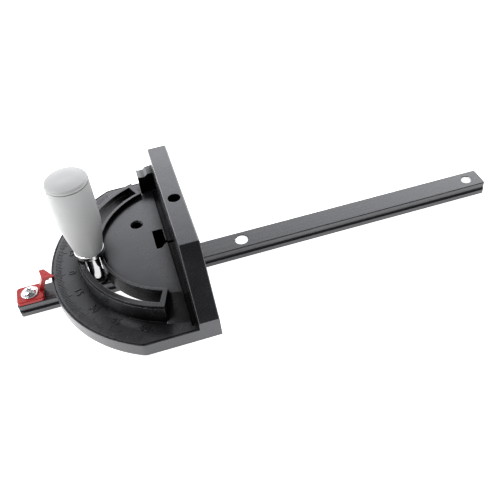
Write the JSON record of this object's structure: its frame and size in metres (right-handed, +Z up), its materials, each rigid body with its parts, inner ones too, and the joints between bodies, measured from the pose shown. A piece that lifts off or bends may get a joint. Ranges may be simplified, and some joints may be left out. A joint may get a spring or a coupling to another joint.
{
  "type": "mitre gauge",
  "caption": "Table-saw mitre gauge: grooved guide bar, half-round protractor head with a fence, arc slot, screw-down clamping handle and red index pointer.",
  "frame": {"origin": "On the head's pivot axis, in the plane of the guide bar's sole", "axes": "+X along the bar towards its long end (the blade's end), +Y along the fence, +Z up"},
  "size_m": [0.4, 0.1874, 0.1116],
  "materials": {
    "bar_black": "satin",
    "head_black": "satin",
    "steel": "satin",
    "chrome": "polished",
    "grip_grey": "matte",
    "washer_black": "satin",
    "pointer_red": "gloss"
  },
  "bodies": {
    "bar": {"guide_bar": "bar_black", "pivot_washer": "steel", "bar_washer": "washer_black", "pointer_screw": "chrome"},
    "head": {"protractor_head": "head_black", "pivot_screw": "steel", "pivot_bush": "steel"},
    "clamp": {"clamp_washer": "washer_black"},
    "handle": {"handle_stud": "chrome", "handle_ferrule": "chrome", "handle_grip": "grip_grey", "handle_cap": "grip_grey", "grip_washer": "steel", "grip_nut": "steel"},
    "pointer": {"pointer": "pointer_red"}
  },
  "joints": [
    {"name": "head_swing", "type": "hinge", "parent": "bar", "child": "head", "pos_m": [0, 0, 0.0118], "axis": [0, 0, 1], "range_deg": [-60, 60]},
    {"name": "handle_lift", "type": "slide", "parent": "bar", "child": "clamp", "axis": [0, 0, 1], "range_m": [0, 0.00125]},
    {"name": "handle_turn", "type": "hinge", "parent": "clamp", "child": "handle", "pos_m": [-0.0708, 0, 0.04], "axis": [0, 0, 1], "range_deg": [0, 364]},
    {"name": "pointer_set", "type": "hinge", "parent": "bar", "child": "pointer", "pos_m": [-0.1249, 0, 0.0118], "axis": [0, 0, 1], "range_deg": [-5, 5]}
  ],
  "couplings": [
    {"joint": "handle_turn", "follows": "handle_lift", "rad_per_m": 5026.5}
  ]
}
